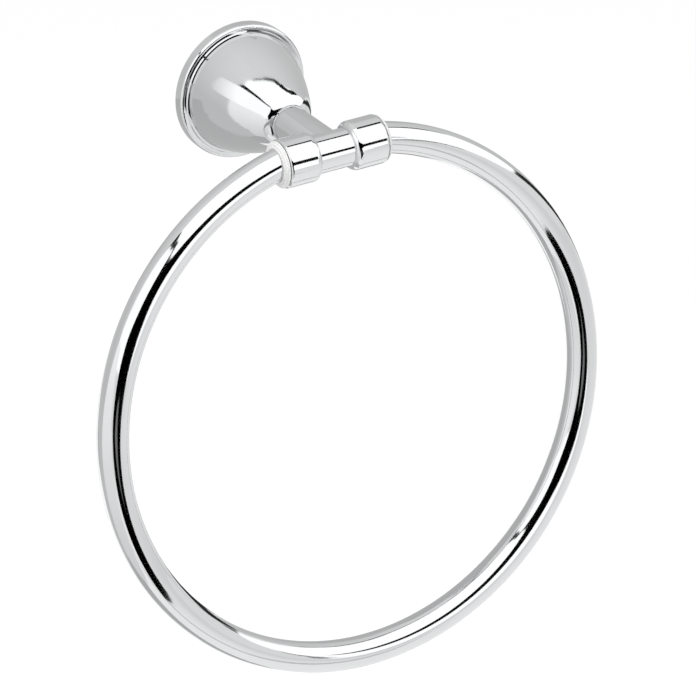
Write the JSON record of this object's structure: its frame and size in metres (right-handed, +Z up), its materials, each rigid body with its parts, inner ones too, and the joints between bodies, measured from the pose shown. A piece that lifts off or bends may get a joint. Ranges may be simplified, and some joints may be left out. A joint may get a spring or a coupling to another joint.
{
  "type": "towel ring",
  "caption": "Wall-mounted towel ring: a round tube ring that swings in a cross barrel on a post with a bell-shaped rose.",
  "frame": {"origin": "centre of the rose on the wall, which is also the centre of the two wall screws", "axes": "+Y points into the wall, +Z is up, and +X is to the right for someone facing the wall; the ring hangs down on the -Y side"},
  "size_m": [0.2, 0.0927, 0.2156],
  "materials": {
    "bracket_steel": "zinc-plated, satin",
    "rose_chrome": "mirror-polished plate",
    "screw_steel": "plain steel",
    "holder_chrome": "mirror-polished plate",
    "ring_chrome": "mirror-polished plate",
    "bush_nylon": "natural white nylon"
  },
  "bodies": {
    "wall_mount": {"wall_bracket": "bracket_steel", "rose": "rose_chrome", "rose_grub_screw": "screw_steel", "holder": "holder_chrome", "holder_screw": "screw_steel", "holder_washer": "screw_steel"},
    "ring": {"ring": "ring_chrome", "left_bush": "bush_nylon", "right_bush": "bush_nylon"}
  },
  "joints": [
    {"name": "ring_swing", "type": "hinge", "parent": "wall_mount", "child": "ring", "pos_m": [0, -0.0644, 0], "axis": [-1, 0, 0], "range_deg": [-24, 190]}
  ]
}
